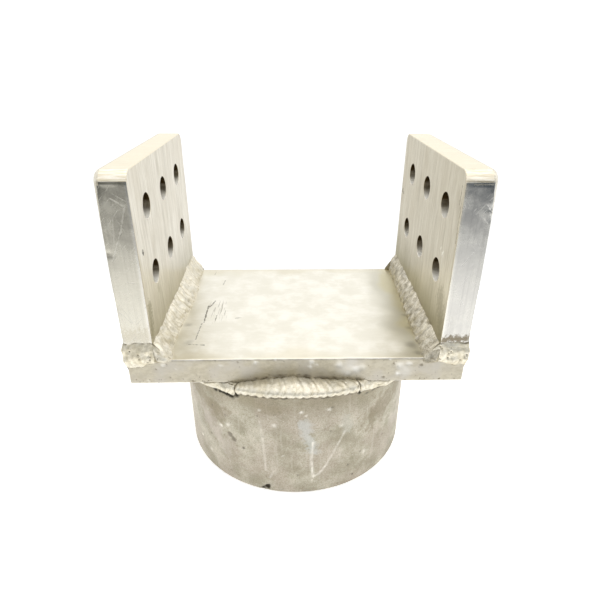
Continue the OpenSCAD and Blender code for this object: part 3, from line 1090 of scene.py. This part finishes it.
# %% Bead laying
def lay_bead(bm, section, length, pitch, weave, relief, sway_mm, lumps, nose, pits, seed,
             bow=3.0, crown=1.0, sooty=0.7, scallop=0.0, dull=0.0, end_soot=0.3):
    """Lays one bead. section(s) gives two toes, the root and a handle (or None) at a distance s along it.
    pitch and weave are the lengths of the fine waves and of the hand's weave, and bow above 0 bends them
    forward. relief, sway_mm and lumps are the heights of the waves, the weave and the noise. scallop is how
    far the toes step in and out, and dull greys the whole bead."""
    rings = max(8, round(length / RING_STEP))
    soot_and_shade_layer, crest_layer = painted(bm, "soot_and_shade"), painted(bm, "crest")
    verts = bead_blank(bm, rings)
    chooser = random.Random(seed)
    holes = [(chooser.uniform(0, length), chooser.uniform(0.15, 0.85), chooser.uniform(0.35, 0.8))
             for _ in range(pits)]
    sections = {}
    for vert in verts:
        along = vert.co.z + 0.5
        around = (math.atan2(vert.co.y, vert.co.x) / math.tau) % 1.0
        key = round(along * rings)
        if key not in sections:
            s = key / rings * length
            toe_a, toe_b, root, handle = section(s)
            chord = toe_b - toe_a
            middle = (toe_a + toe_b) / 2
            out = middle - root
            out = (out - chord * (out.dot(chord) / chord.length_squared)).normalized()
            hub = (root + middle) / 2
            ends = 1.0
            for reach, gap in ((nose[0], s), (nose[1], length - s)):
                if gap < reach:
                    ends *= math.sqrt(max(0.0, 1 - (1 - gap / reach) ** 2))
            unevenness = 0.3 * noise.noise(Vector((s / 9, seed, 2)))
            bite = scallop * abs(math.sin(math.pi * (s / weave + unevenness)))
            toe_a = toe_a - chord.normalized() * bite - out * 0.2
            toe_b = toe_b + chord.normalized() * bite * 0.6 - out * 0.2
            handle = handle or middle + out * (2 * crown)
            sections[key] = (s, toe_a, toe_b, root, out, handle, hub, 0.1 + 0.9 * ends)
        s, toe_a, toe_b, root, out, handle, hub, ends = sections[key]
        if around > FACE_SHARE:
            back = (around - FACE_SHARE) / (1 - FACE_SHARE)
            point = toe_b.lerp(root, back * 2) if back < 0.5 else root.lerp(toe_a, back * 2 - 1)
            vert.co = hub + (point - hub) * ends
            vert[soot_and_shade_layer] = 0.6
            continue
        w = around / FACE_SHARE
        point = toe_a * (1 - w) ** 2 + handle * (2 * w * (1 - w)) + toe_b * w ** 2
        tangent = ((handle - toe_a) * (1 - w) + (toe_b - handle) * w).normalized()
        normal = (out - tangent * out.dot(tangent)).normalized()
        across = 4 * w * (1 - w)
        drift = 0.45 * noise.noise(Vector((s / 8.0, seed * 1.7, 0.3))) + 0.12 * noise.noise(point / 1.6)
        fine = wave((s - bow * across) / pitch + drift, seed)
        slow = wave((s - 1.2 * bow * across) / weave + drift * 0.6, seed + 5)
        grain = noise.noise(point / 0.9 + Vector((seed, 0, 0)))
        lump = noise.noise(point / 3.6 + Vector((0, seed, 0)))
        fade = min(1.0, min(w, 1 - w) / 0.14)
        lift = relief * fine + sway_mm * slow + lumps * lump + 0.04 * grain
        depth = 0.0
        for hole_s, hole_w, hole_r in holes:
            gap = math.hypot(s - hole_s, (w - hole_w) * (toe_b - toe_a).length) / hole_r
            if gap < 1.3:
                depth = max(depth, math.exp(-(gap * 1.5) ** 2))
        point = point + normal * (fade * lift - depth * 0.8)
        vert.co = hub + (point - hub) * ends
        patchy = 0.5 + 0.5 * noise.noise(point / 2.4 + Vector((3, seed, 0)))
        toe_soot = min(1.0, 1.4 * max(0.0, 1 - min(w, 1 - w) / 0.15)) * (0.35 + 0.75 * patchy) * sooty
        tip_soot = max(0.0, 1 - min(s, length - s) / 1.4) * end_soot
        vert[soot_and_shade_layer] = max(toe_soot, tip_soot, depth, dull * (0.7 + 0.6 * patchy))
        # How high the waves stand here, which the weld metal turns into painted highlight on the crests and
        # painted shade in the grooves.
        vert[crest_layer] = min(1.0, 0.25 + 0.55 * fine + 0.35 * slow)
    return verts


def bead_piece(word, *laid, **habits):
    """Lays one bead and finishes it as the piece that stands for one weld node."""
    bm = bmesh.new()
    lay_bead(bm, *laid, **habits)
    return finish_piece(bm, f"{word}_bead", [WELD_METAL], [f"{word}_weld"], sharp_degrees=75)


print("bead laying ready")

# %% [markdown]
# ## The fillets inside the saddle
#
# A fillet runs from back to front in the corner of the plate and each cheek. It climbs higher on the cheek
# than it reaches across the plate, and swells at its back end. At the front the pool has sagged over the
# plate's edge in a round nose.

# %% Inner fillets
fillet_low, fillet_high = box_mm("right_inner_fillet_weld")
FILLET_OUT = fillet_high.x - fillet_low.x
FILLET_UP = fillet_high.z - fillet_low.z
FILLET_OVERRUN = 2.3


def inner_fillet_section(side, seed, out_at, up_at, droop):
    """out_at and up_at give the legs on the plate and on the cheek at a place along Y."""
    def section(s):
        y = HALF_W + 0.6 - s
        past_edge = min(1.0, max(0.0, (1.5 - HALF_W - y) / 3.4))
        out = out_at(y) + 0.8 * drifting(s, seed, 5.0)
        up = up_at(y) + 0.9 * drifting(s, seed + 1, 5.0) - 2.0 * past_edge
        toe_plate = Vector((side * (INNER_X - out), y, SEAT_Z - droop * past_edge))
        toe_cheek = Vector((side * INNER_X, y, SEAT_Z + up))
        root = Vector((side * (INNER_X + 0.4), y, SEAT_Z - 0.4 - 0.5 * droop * past_edge))
        return toe_plate, toe_cheek, root, None
    return section


def bump_at(y, centre, width):
    """A smooth bump of height 1 about a place."""
    return math.exp(-((y - centre) / width) ** 2)


def left_out(y):
    return FILLET_OUT * (0.95 + 0.35 * bump_at(y, 8, 22) + 0.28 * bump_at(y, -HALF_W, 7))


def left_up(y):
    return FILLET_UP * (1.02 + 0.0025 * (y + 10)) + 1.6 * bump_at(y, 30, 5)


def right_out(y):
    return FILLET_OUT * (0.82 - 0.006 * y)


def right_up(y):
    return FILLET_UP * (1.02 + 0.004 * (y + 10))


FILLET_LENGTH = 2 * HALF_W + 0.6 + FILLET_OVERRUN
bead_piece("left_inner_fillet", inner_fillet_section(-1, 21, left_out, left_up, 0.6), FILLET_LENGTH,
           pitch=2.5, weave=5.2, crown=0.6, relief=0.05, sway_mm=0.36, lumps=0.95, nose=(2.0, 3.4), pits=9,
           seed=21, scallop=0.8, dull=0.14)
bead_piece("right_inner_fillet", inner_fillet_section(1, 34, right_out, right_up, 2.4), FILLET_LENGTH,
           pitch=2.2, weave=6.4, bow=2.6, relief=0.05, sway_mm=0.75, lumps=0.5, nose=(2.0, 3.6), pits=5,
           seed=34, scallop=1.1, dull=0.58)

# %% [markdown]
# ## The seams on the outside
#
# The outer joint of each cheek is a butt against the plate's edge, capped by one flat, wide bead.

# %% Outer seams
seam_low, seam_high = box_mm("right_outer_seam_weld")
SEAM_UP = seam_high.z - SEAT_Z
SEAM_DOWN = SEAT_Z - seam_low.z
SEAM_PROUD = seam_high.x - seam_low.x


def outer_seam_section(side, seed):
    def section(s):
        y = -HALF_W + 1.5 + s
        top = SEAM_UP * (0.9 + 0.1 * drifting(s, seed))
        bottom = SEAM_DOWN * (0.9 + 0.12 * drifting(s, seed + 1))
        face = side * HALF_L
        root = Vector((face - side * 0.9, y, SEAT_Z + (top - bottom) / 2))
        return Vector((face, y, SEAT_Z - bottom)), Vector((face, y, SEAT_Z + top)), root, None
    return section


for side, word, seed in ((-1, "left", 41), (1, "right", 52)):
    bead_piece(f"{word}_outer_seam", outer_seam_section(side, seed), 2 * HALF_W - 3.0, pitch=2.5, weave=7.0,
               bow=4.2, crown=1.25, relief=0.16, sway_mm=0.22, lumps=0.16, nose=(3, 3), pits=6, seed=seed)

# %% [markdown]
# ## The beads across the cheeks' edges
#
# Each of the four ends of the joint was closed by a short, hot bead that turns the corner and laps on to the
# outer seam. It was laid in a hurry: it is lumpy and pitted, and along its upper toe it hasn't wetted the
# cheek, which leaves a porous dark step.


# %% End welds
WRAP = 6.0
CORNER_ARC = 2.8


def end_weld_section(side, end, seed, top_mm, bottom_mm, inner_start, slant):
    """slant lifts the lower toe towards the inner end, so that the bead's foot runs askew."""
    across = HALF_L - inner_start

    def section(s):
        if s < across:
            base = Vector((side * (inner_start + s), end * HALF_W, 0))
            out = Vector((0, end, 0))
        elif s < across + CORNER_ARC:
            turn = (s - across) / CORNER_ARC * math.pi / 2
            base = Vector((side * HALF_L, end * HALF_W, 0))
            out = Vector((side * math.sin(turn), end * math.cos(turn), 0))
        else:
            base = Vector((side * HALF_L, end * (HALF_W - (s - across - CORNER_ARC)), 0))
            out = Vector((side, 0, 0))
        on_fillet = FILLET_UP * (inner_start + s - (INNER_X - 1.25 * FILLET_OUT)) / (1.25 * FILLET_OUT)
        top = min(top_mm, max(1.0, on_fillet)) + 0.5 * drifting(s, seed, 3.0)
        bottom = bottom_mm - slant * max(0.0, 1 - s / (0.8 * across)) + 0.5 * drifting(s, seed + 1, 3.0)
        root = base - out * 0.9 + UP * (SEAT_Z + (top - bottom) / 2)
        return base + UP * (SEAT_Z - bottom), base + UP * (SEAT_Z + top), root, None
    return section


END_WELDS = [  # side, end, name, seed, reach up and down, where it starts, slant, how dull
    (-1, -1, "left_front_end", 61, 9.3, 4.6, 56.0, 5.2, 0.34),
    (1, -1, "right_front_end", 72, 8.3, 4.4, 58.6, 2.6, 0.1),
    (-1, 1, "left_back_end", 83, 8.4, 4.6, 57.5, 3.0, 0.3),
    (1, 1, "right_back_end", 94, 8.8, 4.8, 57.5, 2.5, 0.3),
]
for side, end, word, seed, up_mm, down_mm, start, slant, dull in END_WELDS:
    bead_piece(word, end_weld_section(side, end, seed, up_mm, down_mm, start, slant),
               HALF_L - start + CORNER_ARC + WRAP, pitch=2.6, weave=5.2, crown=1.15, relief=0.05, sway_mm=0.2,
               lumps=0.75, nose=(6.5, 2.0), pits=16, seed=seed, sooty=1.0, scallop=0.5, dull=dull)

# %% [markdown]
# ## The ring of weld round the tube
#
# At the front and the back the tube stands past the plate, so the bead lies on the ledge that is left: one
# toe climbs the plate's edge and the other hangs over the tube. At the sides it is a plain fillet under the
# plate. One section formula covers both, because the root follows the plate's edge where there is a ledge
# and the tube's wall where there is none.


# %% Ring section
def ring_section(start, direction, up_at, down_at):
    """start is in degrees round from the front; up_at and down_at give the toes' heights at an angle."""
    def section(s):
        degrees = start + direction * math.degrees(s / TUBE_R)
        turn = math.radians(degrees)
        radial = Vector((math.sin(turn), -math.cos(turn), 0))
        plate_edge = HALF_W / max(0.05, abs(math.cos(turn)))
        root_r = min(plate_edge, TUBE_R)
        toe_r = min(plate_edge, TUBE_R + RING_OUT)
        on_edge = plate_edge <= TUBE_R + RING_OUT
        up = up_at(degrees) if on_edge else 0.0
        toe_plate = radial * toe_r + UP * (PLATE_Z + up)
        toe_tube = radial * TUBE_R + UP * (PLATE_Z - down_at(degrees))
        root = radial * (root_r - 0.5) + UP * (PLATE_Z + 0.3)
        ledge = min(1.0, max(0.0, (TUBE_R + 1.5 - root_r) / 4.0)) if root_r < TUBE_R else 0.0
        plain = (toe_plate + toe_tube) / 2 + (radial * 0.7 - UP * 0.7) * 2.4
        over_rim = radial * (TUBE_R + 3.4) + UP * (PLATE_Z + 0.9 + up * 0.8)
        return toe_tube, toe_plate, root, plain.lerp(over_rim, ledge)
    return section


# %% Front and back runs
run_length = TUBE_R * math.radians(2 * RUN_END)
for centre, word, seed in ((0, "front", 103), (180, "back", 114)):
    bead_piece(f"{word}_ring", ring_section(centre - RUN_END, 1, lip_rise, lip_drop), run_length,
               pitch=2.4, weave=3.6, relief=0.11, sway_mm=0.24, lumps=0.3, nose=(1.6, 1.2), pits=4, seed=seed,
               sooty=1.0, scallop=0.6, end_soot=1.0)


# %% Side runs
def left_drop(degrees):
    """The left run starts shallow, in a lump."""
    away = abs(from_nearest_face(degrees))
    return 5.6 + 1.4 * min(1.0, max(0.0, (away - 40) / 20)) + 0.4 * drifting(degrees, 7, 5.0)


def right_drop(degrees):
    """The right run starts shallow and soon hangs lower."""
    away = abs(from_nearest_face(degrees))
    return 4.4 + 3.0 * min(1.0, max(0.0, (away - 30) / 16)) + 0.3 * drifting(degrees, 8, 5.0)


side_length = TUBE_R * math.radians(180 - 2 * RUN_END + 1.2)
for side, word, seed, drop in ((-1, "left", 125, left_drop), (1, "right", 136, right_drop)):
    start = side * (RUN_END - 0.6)
    bead_piece(f"{word}_ring", ring_section(start, side, lip_rise, drop), side_length, pitch=2.5, weave=6.0,
               bow=-3.0, relief=0.09, sway_mm=0.3, lumps=0.5, nose=(1.4, 1.4), pits=8, seed=seed, sooty=1.0,
               scallop=0.5, end_soot=1.0)

# %% [markdown]
# ## Studio
#
# The object stands on white paper under a large soft light. Bare metal shows whatever is around it, so the
# room matters as much as the lamps: the paper is short at the front and the room beyond it is dim, which
# gives the upright front faces their fall from grey to white. The view transform is the plain one, so that
# white stays white.

# %% Paper and room
def stage_material(name, colour, strength):
    """Matt paper with a little glow of its own. It is clear from below, so the tube's foot can be seen."""
    made = bpy.data.materials.new(name)
    made.use_nodes = True
    tree = made.node_tree
    tree.nodes.clear()
    shader = add(tree, "ShaderNodeBsdfPrincipled", {
        "Base Color": colour,
        "Roughness": 0.9,
        "Emission Color": colour,
        "Emission Strength": strength,
    })
    clear = add(tree, "ShaderNodeBsdfTransparent")
    below = add(tree, "ShaderNodeNewGeometry").outputs["Backfacing"]
    choices = {0: below, 1: shader.outputs["BSDF"], 2: clear.outputs["BSDF"]}
    either = add(tree, "ShaderNodeMixShader", choices)
    add(tree, "ShaderNodeOutputMaterial", {"Surface": either.outputs["Shader"]})
    return made


PAPER_FRONT, PAPER_BACK, PAPER_HALF = -0.17, 0.17, 0.2
paper_bm = bmesh.new()
bmesh.ops.create_grid(paper_bm, x_segments=1, y_segments=1, size=1.0)
bmesh.ops.scale(paper_bm, vec=(PAPER_HALF, (PAPER_BACK - PAPER_FRONT) / 2, 1.0), verts=paper_bm.verts)
bmesh.ops.translate(paper_bm, vec=(0, (PAPER_BACK + PAPER_FRONT) / 2, -0.0003), verts=paper_bm.verts)
paper_mesh = bpy.data.meshes.new("paper")
paper_bm.to_mesh(paper_mesh)
paper_bm.free()
paper_mesh.materials.append(stage_material("white_paper", "ffffff", 0.4))
paper = bpy.data.objects.new("paper", paper_mesh)
bpy.context.scene.collection.objects.link(paper)

world = bpy.data.worlds.new("studio")
world.use_nodes = True
bpy.context.scene.world = world
tree = world.node_tree
tree.nodes.clear()
room_x, room_y, room_z = axes_of(tree, add(tree, "ShaderNodeTexCoord").outputs["Generated"])
in_front = (room_y * -1.0).between(0.30, 0.75)
dim = in_front * room_z.between(-0.42, -0.18) * room_z.between(0.10, 0.50, 1.0, 0.0)
dim_tone = blend(room_x.between(-0.3, 0.3), "72726c", "565e66")
to_the_left = room_x.between(-0.30, 0.15, 1.0, 0.0) * room_z.between(-0.1, 0.12, 1.0, 0.0)
seen = Pattern(tree, add(tree, "ShaderNodeLightPath").outputs["Is Camera Ray"])
room = blend(to_the_left, "ffffff", "dcdad3").coat(dim, dim_tone).coat(seen, "ffffff")
near_glow = in_front * room_z.between(-0.46, -0.28, 1.25, 0.0) * room_x.between(-0.15, 0.3, 1.0, 0.3)
background = add(tree, "ShaderNodeBackground", {"Color": room, "Strength": near_glow + 1.12})
add(tree, "ShaderNodeOutputWorld", {"Surface": background.outputs["Background"]})
print("paper", [round(size, 2) for size in paper.dimensions], "and a room round it")


# %% Lamps
def soft_light(name, place, aim, width, height, watts, colour):
    """A rectangular lamp at a place, in metres, turned towards its aim."""
    lamp = bpy.data.lights.new(name, "AREA")
    lamp.shape = "RECTANGLE"
    lamp.size = width
    lamp.size_y = height
    lamp.energy = watts
    lamp.color = linear(colour)[:3]
    made = bpy.data.objects.new(name, lamp)
    made.location = place
    made.rotation_euler = (Vector(aim) - Vector(place)).to_track_quat("-Z", "Y").to_euler()
    bpy.context.scene.collection.objects.link(made)
    print(name, watts, "W")


soft_light("top_softbox", (0.15, 0.15, 1.1), (0, 0, 0.07), 1.3, 1.1, 2.6, "fffaf0")
soft_light("right_softbox", (1.0, -0.1, 0.7), (0, 0, 0.1), 0.8, 0.8, 0.5, "fffdf8")

scene = bpy.context.scene
scene.view_settings.view_transform = "Standard"
scene.view_settings.look = "None"
scene.view_settings.exposure = 0.0

# %% Finish
print("cad", [[round(c, 4) for c in corner] for corner in cad_bounds])
